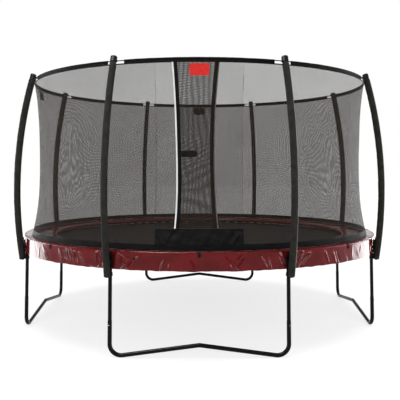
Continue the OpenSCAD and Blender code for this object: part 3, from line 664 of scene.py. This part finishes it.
def sleeve(post, seed):
    """A foam tube in its cloth cover: an oval section carried along the pole's arc, gently lumpy, pinched in beside
    the clamps, and turned in to the pole at both ends."""
    z = np.concatenate([np.linspace(SLEEVE_FOOT, 1.0, 45), np.linspace(1.0, SLEEVE_TOP, 81)[1:]])
    t = np.linspace(0, math.tau, 37)[:-1]
    zz, tt = z[:, None], t[None, :]
    rounding, clamp_half, bolt_room = 0.012, 0.021, 0.012
    x, y = sleeve_oval(0.030, tt)
    end = np.minimum(zz - SLEEVE_FOOT, SLEEVE_TOP - zz)
    rounded = np.sqrt(np.clip(1 - (1 - np.clip(end / rounding, 0, 1)) ** 2, 0, 1))
    lump = 0.0009 * ripple(zz + 0.04 * np.sin(tt + seed), seed, 0.5, 0.05)
    swell = (0.82 + 0.18 * rounded) * (1 + lump / 0.033)
    x, y = x * swell, y * swell
    for clamp in CLAMPS:
        near = 1 / (1 + (np.abs(zz - clamp) / clamp_half) ** 12)
        limit = bolt_radius(clamp) + bolt_room - pole_radius(clamp)
        x = np.where(x < limit, x + (limit - x) * near, x)
    grid = round_pole(post, zz, x, y)
    inner_r = POLE_TUBE_R + 0.0005
    ends = [
        outward(post) * (pole_radius(level) + inner_r * np.cos(t))[:, None]
        + sideways(post) * (inner_r * np.sin(t))[:, None]
        + UP * (level + inner_r * np.cos(t) * math.sin((level - BULGE_Z) / ARC_R))[:, None]
        for level in (SLEEVE_FOOT, SLEEVE_TOP)
    ]
    grid = np.concatenate([ends[0][None], grid, ends[1][None]])
    along = np.concatenate([[SLEEVE_FOOT - 0.02], z, [SLEEVE_TOP + 0.02]])
    return patch(grid, metres(along, np.linspace(0, 0.21, 37)), wrap_cols=True)


def sleeve_seam_and_rim_light(post, turn):
    """The pale seam that closes a sleeve: a narrow tape up the cover's surface at an angle round the pole, measured
    in degrees from the side that faces outwards. Where it lies along a pole's right-hand edge it is also a painted rim
    highlight for the light falling from the right."""
    z, t = np.linspace(SLEEVE_FOOT + 0.02, SLEEVE_TOP - 0.015, 81), math.radians(turn)
    path = round_pole(post, z, *sleeve_oval(0.0302, t))
    out = np.tile(outward(post) * math.cos(t) + sideways(post) * math.sin(t), (len(z), 1))
    across = np.tile(sideways(post) * math.cos(t) - outward(post) * math.sin(t), (len(z), 1))
    return sweep(path, across, out, 0.0065, 0.0022, material=1)


# Each sleeve gets its seam, turned so that the pale tape paints the rim light on the right-hand edges in view.
for k, post in enumerate(POSTS):
    cover = piece(
        f"pole_sleeve_{k + 1}", [sleeve(post, 100 + k), sleeve_seam_and_rim_light(post, SEAM_AND_RIM_LIGHT_TURNS[k])], [SLEEVE, SEAM_TAPE_AND_RIM_LIGHT], sharp=70
    )
    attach(cover, "frame")
    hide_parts("pole_sleeves")


# ---- padded cover

# The front skirt's creases, as rows for folds: start, slope, width, height, and the drops where it begins and ends.
FRONT_FOLDS = [
    (-1.55, 0.30, 0.011, 0.006, 0.02, 0.16), (-1.47, 0.25, 0.010, -0.006, 0.01, 0.15),
    (-1.43, 0.30, 0.011, 0.008, 0.00, 0.16), (-1.395, 0.38, 0.010, -0.007, 0.00, 0.15),
    (-1.36, 0.45, 0.011, 0.008, 0.00, 0.15), (-1.325, 0.52, 0.010, -0.006, 0.01, 0.16),
    (-1.28, 0.60, 0.011, 0.007, 0.02, 0.17), (-1.05, 0.20, 0.012, 0.006, 0.02, 0.15),
    (-1.00, 0.05, 0.010, -0.006, 0.01, 0.16), (-0.965, -0.15, 0.011, 0.007, 0.01, 0.17),
    (-0.80, 1.10, 0.012, 0.008, 0.02, 0.12), (-0.79, 0.45, 0.010, -0.006, 0.04, 0.16),
    (-0.76, 0.25, 0.011, 0.007, 0.06, 0.18), (-0.66, -0.30, 0.010, 0.005, 0.05, 0.17),
    (-0.50, -1.10, 0.014, 0.010, 0.01, 0.20), (-0.555, -1.00, 0.012, -0.008, 0.03, 0.19),
    (-0.60, -0.80, 0.012, 0.007, 0.06, 0.19), (-0.30, -0.35, 0.012, 0.008, 0.06, 0.20),
    (-0.265, -0.25, 0.010, -0.006, 0.07, 0.20), (-0.10, 0.30, 0.012, 0.005, 0.08, 0.20),
    (0.22, 0.50, 0.013, 0.007, 0.04, 0.20), (0.27, 0.60, 0.012, -0.006, 0.05, 0.20),
    (0.42, -0.70, 0.013, 0.008, 0.02, 0.19), (0.46, -0.80, 0.012, -0.006, 0.03, 0.18),
    (0.55, 0.60, 0.012, 0.008, 0.03, 0.18), (0.62, 0.35, 0.011, 0.006, 0.05, 0.19),
    (0.74, 1.00, 0.012, 0.009, 0.01, 0.13), (0.76, 0.50, 0.011, -0.006, 0.03, 0.16),
    (0.98, -0.40, 0.012, 0.007, 0.01, 0.15), (1.03, -0.60, 0.011, -0.007, 0.01, 0.17),
    (1.07, -0.75, 0.011, 0.008, 0.02, 0.17), (1.12, -0.80, 0.012, -0.006, 0.02, 0.18),
    (1.17, -0.90, 0.011, 0.008, 0.02, 0.18), (1.30, 0.50, 0.012, 0.008, 0.02, 0.17),
    (1.42, 0.35, 0.011, 0.007, 0.03, 0.19), (1.47, 0.45, 0.010, -0.006, 0.03, 0.19),
]


def crease_table(seed):
    """Creases in no special place: seven beside each post and at each end, and eleven more anywhere."""
    rng = np.random.default_rng(seed)
    bunches = [centre + rng.uniform(-0.17, 0.17, 7) for centre in (-1.45, -0.88, 0.88, 1.45)]
    starts = np.concatenate(bunches + [rng.uniform(-1.5, 1.5, 11)])
    count = len(starts)
    first = rng.uniform(0.0, 0.05, count)
    slopes, widths = rng.uniform(-0.9, 0.9, count), rng.uniform(0.011, 0.015, count)
    heights = rng.choice([-0.006, 0.007, 0.009], count)
    return np.stack([starts, slopes, widths, heights, first, first + rng.uniform(0.10, 0.17, count)], 1)


def pad_quarter(name, middle, table, seed, calm):
    """A quarter of the cover as one closed section carried along the ring: up the outside of the skirt, over a
    rounded edge, in across the crowned top, round the inner nose, out along the underside and down inside the
    skirt. The skirt is shorter where it opens at the posts, and the faces of each opening are coloured near black:
    painted shade, for the dark gap there. Its creases and slow waves move it, and they nearly die out round one place,
    calm."""
    edge_r, nose_r, skin = 0.010, 0.018, 0.003
    cuts = [sign * POST_OFF + side * NOTCH_HALF * f for sign in (-1, 1) for side in (-1, 1) for f in (1.0, 0.965)]
    local = np.unique(np.concatenate([np.linspace(-44.97, 44.97, 641), cuts]))
    s = np.radians(local) * PAD_OUT
    in_notch = np.abs(np.abs(local) - POST_OFF) < NOTCH_HALF * 0.97
    foot = np.where(in_notch, NOTCH_TOP, SKIRT_FOOT + 0.002 * (1 + ripple(s, seed, 0.5, 0.12)))
    low_top = PAD_TOP - edge_r
    up, down = np.linspace(0, 1, 21)[:, None], np.linspace(0, 1, 12)[1:, None]
    turn = np.radians(np.linspace(0, 90, 7))[1:, None]
    bevel = np.array([[0.0], [0.004], [0.012]])
    across = np.linspace(PAD_OUT - edge_r, PAD_IN + nose_r, 27)[1:, None]
    crown = 0.0035 * np.sin(math.pi * np.clip((across - 1.80) / 0.24, 0, 1))
    crown = crown + 0.0015 * np.sin(math.pi * np.clip((across - 2.075) / 0.075, 0, 1))
    outside = [np.full((21, 1), PAD_OUT), foot + up * (low_top - foot)]
    corner = [PAD_OUT - edge_r + edge_r * np.cos(turn), low_top + edge_r * np.sin(turn)]
    top = [across, PAD_TOP + crown - 0.0006]
    nose = [PAD_IN + nose_r - nose_r * np.sin(turn), PAD_TOP - nose_r + nose_r * np.cos(turn)]
    below = [PAD_IN + bevel, PAD_FOOT + bevel[::-1]]
    under = [np.linspace(PAD_IN + 0.03, PAD_OUT - skin, 12)[:, None], np.full((12, 1), PAD_FOOT)]
    inside = [np.full((11, 1), PAD_OUT - skin), PAD_FOOT + down * (foot - PAD_FOOT)]
    section = (outside, corner, top, nose, below, under, inside)
    r, z = (np.concatenate([part[k] + 0 * s for part in section]) for k in (0, 1))

    s_grid = np.broadcast_to(s, r.shape)
    drop = PAD_TOP - z
    hanging = (r > PAD_OUT - 0.006) * np.clip(drop / 0.02, 0, 1)
    loose = np.clip(drop / 0.12, 0, 1)
    wave = 0.003 * ripple(s_grid + 0.1 * z, seed + 1, 0.9, 0.2, 4)
    wave = wave + 0.0008 * ripple(s_grid - 0.5 * drop, seed + 2, 0.22, 0.09, 4)
    taut = 1 - 0.88 * np.exp(-(((s_grid - calm) / 0.40) ** 4))
    move = hanging * taut * (1.25 * folds(s_grid, drop, table) + loose * wave)
    shy = np.clip(1 - np.abs(np.abs(s_grid) - math.radians(POST_OFF) * PAD_OUT) / 0.15, 0, 1)
    r = r + np.where(hanging > 0, np.clip(move, -0.013, 0.013) * (1 - 0.7 * shy), 0)
    on_top = (z > PAD_FOOT + 0.02) & (r < PAD_OUT + 0.005) & (hanging < 0.5)
    rim = np.exp(-((PAD_OUT - r) / 0.035) ** 2) + np.exp(-((r - PAD_IN) / 0.05) ** 2)
    pucker = 0.0014 * ripple(s_grid, seed + 3, 0.16, 0.03) * rim
    pucker = pucker + 0.0012 * ripple(s_grid + 1.5 * r, seed + 4, 0.5, 0.12)
    seat = 1 - np.exp(-(((r - NET_FOOT_R) / 0.014) ** 2))
    z = z + np.where(on_top, pucker * seat, 0)

    rows_at = np.concatenate([[0], np.cumsum(np.abs(np.diff(z[:, 0])) + np.abs(np.diff(r[:, 0]))), [1.4]])
    grid = polar(r, middle + local, z)
    obj = piece(name, [patch(grid, metres(rows_at, s), wrap_rows=True, ends=True)], [PAD, NOTCH_SHADE], sharp=75)
    centre = np.empty(3 * len(obj.data.polygons))
    obj.data.polygons.foreach_get("center", centre)
    x, y, level = centre.reshape(-1, 3).T
    turn = (np.degrees(np.arctan2(y, x)) - middle + 180) % 360 - 180
    # The faces in each post's opening take the second, near-black material: painted shade for the dark gap.
    in_notch = np.abs(np.abs(turn) - POST_OFF) < NOTCH_HALF
    shaded_gap = in_notch & (np.hypot(x, y) > PAD_OUT - 0.02) & (level < PAD_TOP - 0.014)
    obj.data.polygons.foreach_set("material_index", shaded_gap.astype(np.int32))
    return obj


# Each quarter's middle, and its calm place in metres along it, where 9 lies off the quarter.
PAD_PLACES = (("right", 0, -1.28), ("back", 90, 9.0), ("left", 180, 1.28), ("front", -90, 9.0))
for k, (place, middle, calm) in enumerate(PAD_PLACES):
    table = FRONT_FOLDS if place == "front" else crease_table(200 + k)
    pad = pad_quarter(f"pad_cover_{place}", middle, table, 300 + 10 * k, calm)
    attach(pad, "frame")
    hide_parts(f"pad_{place}")


def strap_patches(post):
    """The two straps at a post: each lies on the cover, goes over its edge, turns on its side and runs down to a
    loop round the clamp's bolt."""
    out, side = outward(post), sideways(post)
    bolt_z, loop_r, half_skin = CLAMPS[0], 0.0095, 0.001
    bolt = bolt_radius(bolt_z)
    made = []
    for sign in (-1, 1):
        corners = [
            (2.065, 0.080, 1.0357), (2.110, 0.076, 1.0357), (2.156, 0.069, 1.0355), (2.168, 0.067, 1.030),
            (2.172, 0.063, 1.000), (bolt + 0.006, 0.040, 0.865), (bolt, 0.0315, 0.812),
        ]
        local = smooth_path(corners, 45)
        path = out * local[:, :1] + side * sign * local[:, 1:2] + UP * local[:, 2:]
        run = headings(path)
        share = np.clip((1.034 - local[:, 2:]) / 0.05, 0, 1)
        wide = side * (1 - share) + out * share * sign
        wide -= run * (wide * run).sum(1)[:, None]
        wide /= np.linalg.norm(wide, axis=1)[:, None]
        made.append(sweep(path, wide, np.cross(run, wide), 0.020, 0.0018))
        turn = np.linspace(-0.5 * math.pi, 1.5 * math.pi, 25)[:-1]
        at = out * (bolt + loop_r * np.cos(turn))[:, None] + UP * (bolt_z + loop_r * np.sin(turn))[:, None]
        thin = out * np.cos(turn)[:, None] + UP * np.sin(turn)[:, None]
        section = ((0.0215, -half_skin), (0.0215, half_skin), (0.0415, half_skin), (0.0415, -half_skin))
        edges = [at + side * sign * along + thin * off for along, off in section]
        ring = np.stack(edges if sign > 0 else edges[::-1], 1)
        uv = metres(np.linspace(0, 0.06, 25), np.linspace(0, 0.045, 5))
        made.append(patch(ring[::-1], uv, wrap_rows=True, wrap_cols=True))
    return made


straps = piece("pad_strap_webbing", [part for post in POSTS for part in strap_patches(post)], [WEBBING], sharp=40)
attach(straps, "frame")
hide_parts("pad_straps")

tie_parts = []
for k in range(8):
    at = 45.0 * k
    line = smooth_path([(2.129, 1.0357), (2.155, 1.0355), (2.1655, 1.031), (2.168, 1.010), (2.168, 0.988)], 25)
    path = outward(at) * line[:, :1] + UP * line[:, 1:]
    wide = np.tile(sideways(at), (len(path), 1))
    tie_parts.append(sweep(path, wide, np.cross(headings(path), wide), 0.026, 0.0016))
ties = piece("pad_tie_webbing", tie_parts, [WEBBING], sharp=40)
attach(ties, "frame")
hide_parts("pad_ties")


# ---- mat and springs

def mat_height(r):
    """The mat's height at a radius: a very shallow bowl, as cloth hangs between springs."""
    return MAT_Z - 0.006 * (1 - np.clip(r / MAT_R, 0, 1) ** 2)


def lathe(at, outline):
    """A turned shape about the radial line at an angle: each outline row is a radius along the mat and its own
    half thickness there."""
    r, half = np.array(outline).T
    turn = np.linspace(0, math.tau, 13)
    along = outward(at) * r[:, None, None]
    ring = sideways(at) * np.cos(turn[:-1])[None, :, None] + UP * np.sin(turn[:-1])[None, :, None]
    grid = along + ring * half[:, None, None] + UP * MAT_Z
    return patch(grid, metres(r, np.linspace(0, 0.08, len(turn))), wrap_cols=True, ends=True)


def wire(path, radius=0.0018):
    """Round wire along a path in one upright plane: rings of six points, each turned with the path."""
    run = headings(path)
    across = np.cross(run, UP)
    across = across / np.maximum(np.linalg.norm(across, axis=1)[:, None], 1e-6)
    over = np.cross(across, run)
    turn = np.linspace(0, math.tau, 7)[:-1][None, :, None]
    grid = path[:, None] + across[:, None] * np.cos(turn) * radius + over[:, None] * np.sin(turn) * radius
    return patch(grid[:, ::-1], wrap_cols=True, ends=True)


def ring_and_spring(at):
    """One spring with the wire ring that holds it: a close-wound body with tapered ends, a hook at each end, and a
    flat round ring sewn in the webbing."""
    body = [(1.926, 0.004), (1.930, 0.010), (1.936, 0.013), (2.093, 0.013), (2.099, 0.010), (2.103, 0.004)]
    steps = np.linspace(0, 1, 7)[:, None]
    rise = UP * (MAT_Z + 0.004 * np.sin(math.pi * steps))
    tail, head = outward(at) * (1.926 - 0.022 * steps) + rise, outward(at) * (2.100 + 0.024 * steps) + rise
    t = np.linspace(0, math.tau, 19)[:-1, None]
    p = np.linspace(0, math.tau, 7)[None, :-1]
    half, wire_r = 0.015, 0.002
    tube = half + wire_r * np.cos(p)
    ring = (
        outward(at) * (RING_R + tube * np.cos(t))[..., None]
        + sideways(at) * (tube * np.sin(t))[..., None]
        + UP * (MAT_Z + wire_r * np.sin(p) + 0 * t)[..., None]
    )
    return [lathe(at, body), wire(tail), wire(head), patch(ring[::-1], wrap_rows=True, wrap_cols=True)]


for k in range(SECTORS):
    first, step = k * 360 / SECTORS, 360 / SECTORS
    middle = first + step / 2
    near, far = tuple(polar(0.85, middle, MAT_Z).tolist()), tuple(polar(2.10, middle, MAT_Z).tolist())
    angle = np.linspace(first, first + step, 13)
    a, r = np.meshgrid(angle, np.linspace(0.002, MAT_R - 0.01, 33)[::-1])
    flat = polar(r, a, mat_height(r))
    bed = piece(f"mat_sector_{k + 1}", [patch(flat, flat[..., :2])], [MAT])
    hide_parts("jumping_mat")
    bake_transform(bed)
    corners = np.array([
        (WEB_OUT, -0.003), (WEB_OUT, 0.003), (WEB_OUT - 0.002, 0.0038), (WEB_IN + 0.002, 0.0038),
        (WEB_IN, 0.003), (WEB_IN, -0.003), (WEB_IN + 0.002, -0.0038), (WEB_OUT - 0.002, -0.0038),
    ])
    rim = polar(corners[:, :1], angle, MAT_Z + corners[:, 1:])
    uv = metres(np.linspace(0, 0.15, 9), np.radians(angle) * WEB_OUT)
    edge = piece(f"mat_edge_{k + 1}", [patch(rim, uv, wrap_rows=True, ends=True)], [WEBBING], sharp=40)
    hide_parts("mat_webbing")
    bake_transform(edge)
    turns = [first + step / SPRINGS_EACH * (n + 0.5) for n in range(SPRINGS_EACH)]
    parts = [part for turn in turns for part in ring_and_spring(turn)]
    coils = piece(f"spring_set_{k + 1}", parts, [SPRING], sharp=60)
    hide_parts("springs", "mat_rings")
    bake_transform(coils)


# ---- floor, light and camera

def floor_paper():
    """Seamless white studio paper: it shows white to the camera and keeps the soft shadow that falls on it."""
    made, tree, shader = finish("white_studio_paper", "#f0f0f0", 0.9)
    tree.nodes.remove(shader)
    path = add(tree, "LightPath")
    paper = add(tree, "BsdfDiffuse", {"Color": linear("#e7e7e7")})
    shown = add(tree, "BsdfDiffuse", {"Color": (0.29, 0.29, 0.29, 1)})
    glow = add(tree, "Emission", {"Color": (1, 1, 1, 1), "Strength": 0.77})
    both = add(tree, "AddShader", {0: shown.outputs[0], 1: glow.outputs[0]})
    white = add(tree, "Emission", {"Color": (1, 1, 1, 1), "Strength": 1.0})
    seen = add(tree, "MixShader", {0: path.outputs["Is Camera Ray"], 1: paper.outputs[0], 2: both.outputs[0]})
    gloss = add(tree, "MixShader", {0: path.outputs["Is Glossy Ray"], 1: seen.outputs[0], 2: white.outputs[0]})
    tree.links.new(gloss.outputs[0], tree.nodes["Material Output"].inputs["Surface"])
    return made


disc = polar(np.array([[FLOOR_R], [0.01]]), np.linspace(0, 360, 65)[:-1], 0.0)
floor = piece("studio_floor", [patch(disc, wrap_cols=True)], [floor_paper()])

world = bpy.data.worlds.new("white_studio")
bpy.context.scene.world = world
world.use_nodes = True
tree = world.node_tree
tree.nodes.clear()
path = add(tree, "LightPath")
shown = add(
    tree, "Math", {0: path.outputs["Is Camera Ray"], 1: path.outputs["Is Transmission Ray"]}, operation="MAXIMUM"
)
lit = add(tree, "Background", {"Color": (1, 1, 1, 1), "Strength": 0.5})
white = add(tree, "Background", {"Color": (1, 1, 1, 1), "Strength": 1.0})
# The white sweep goes round the back and the sides. The studio's open front is dim, so gloss stays deep there.
way = add(tree, "TexCoord")
towards = add(tree, "SeparateXYZ", {"Vector": way.outputs["Generated"]})
sweep_edge = add(
    tree, "MapRange", {"Value": towards.outputs["Y"], "From Min": 0.2, "From Max": 0.42, "To Min": 0.25, "To Max": 1.0}
)
mirrored = add(tree, "Background", {"Color": (0.96, 0.98, 1.0, 1), "Strength": sweep_edge.outputs["Result"]})
mixed = add(tree, "MixShader", {0: shown.outputs[0], 1: lit.outputs[0], 2: white.outputs[0]})
mixed = add(tree, "MixShader", {0: path.outputs["Is Glossy Ray"], 1: mixed.outputs[0], 2: mirrored.outputs[0]})
sky = add(tree, "OutputWorld")
tree.links.new(mixed.outputs[0], sky.inputs["Surface"])


def lamp(name, kind, place, target, **settings):
    """A lamp at a place, turned towards a target."""
    light = bpy.data.lights.new(name, kind)
    for key, value in settings.items():
        setattr(light, key, value)
    obj = place_object(name, light)
    aim = np.array(target, float) - np.array(place, float)
    aim /= np.linalg.norm(aim)
    obj.location = place
    obj.rotation_euler = (math.acos(-aim[2]), 0.0, math.atan2(aim[1], aim[0]) - math.pi / 2)
    return obj


def softbox(name, place, target, wide, high, brightness):
    """A rectangular lamp whose energy follows its area, so that brightness means the same at any size."""
    energy = brightness * math.pi * wide * high
    return lamp(name, "AREA", place, target, shape="RECTANGLE", size=wide, size_y=high, energy=energy)


lamp("overhead_softbox", "SUN", (0, -0.6, 6), (0, 0, 0), energy=0.55 * math.pi, angle=math.radians(30))
for sign, side in ((-1, "left"), (1, "right")):
    softbox(f"{side}_softbox", (6.5 * sign, -1.0, 2.6), (0, 0, 1.6), 3.0, 3.0, 3.2)
    softbox(f"front_{side}_softbox", (4.5 * sign, -9.5, 4.2), (0, 0, 1.4), 3.0, 2.4, 4.0)

# Bright panels that only glossy surfaces show, as a studio's reflectors do: they draw the highlights on the
# wet-looking cover and along the tubes, and light nothing. Each row: name, place, target, width, height, brightness.
PANELS = (
    ("left_reflector", (-5.23, 2.13, 1.5), (-1.78, -0.77, 1.5), 4.31, 2.96, 6.0),
    ("right_reflector", (5.23, 2.13, 1.5), (1.78, -0.77, 1.5), 4.31, 2.96, 6.0),
    ("left_strip", (-6.0, -5.0, 1.2), (0, -2.0, 0.9), 0.25, 3.0, 45),
    ("right_strip", (6.0, -5.0, 1.2), (0, -2.0, 0.9), 0.25, 3.0, 45),
    ("overhead_strip", (-1.6, -3.0, 5.0), (-1.0, -2.1, 1.0), 1.6, 1.6, 55),
)
for row in PANELS:
    panel = softbox(*row)
    panel.visible_camera = panel.visible_diffuse = False

camera = place_object("camera", bpy.data.cameras.new("camera"))
camera.data.sensor_width, camera.data.lens, camera.data.shift_x = 36.0, 53.628, 0.0017
camera.location = (0.0, -7.610, 1.789)
camera.rotation_euler = (math.radians(90 - 2.837), 0.0, 0.0)
bpy.context.scene.camera = camera
bpy.context.scene.view_settings.view_transform = "Standard"
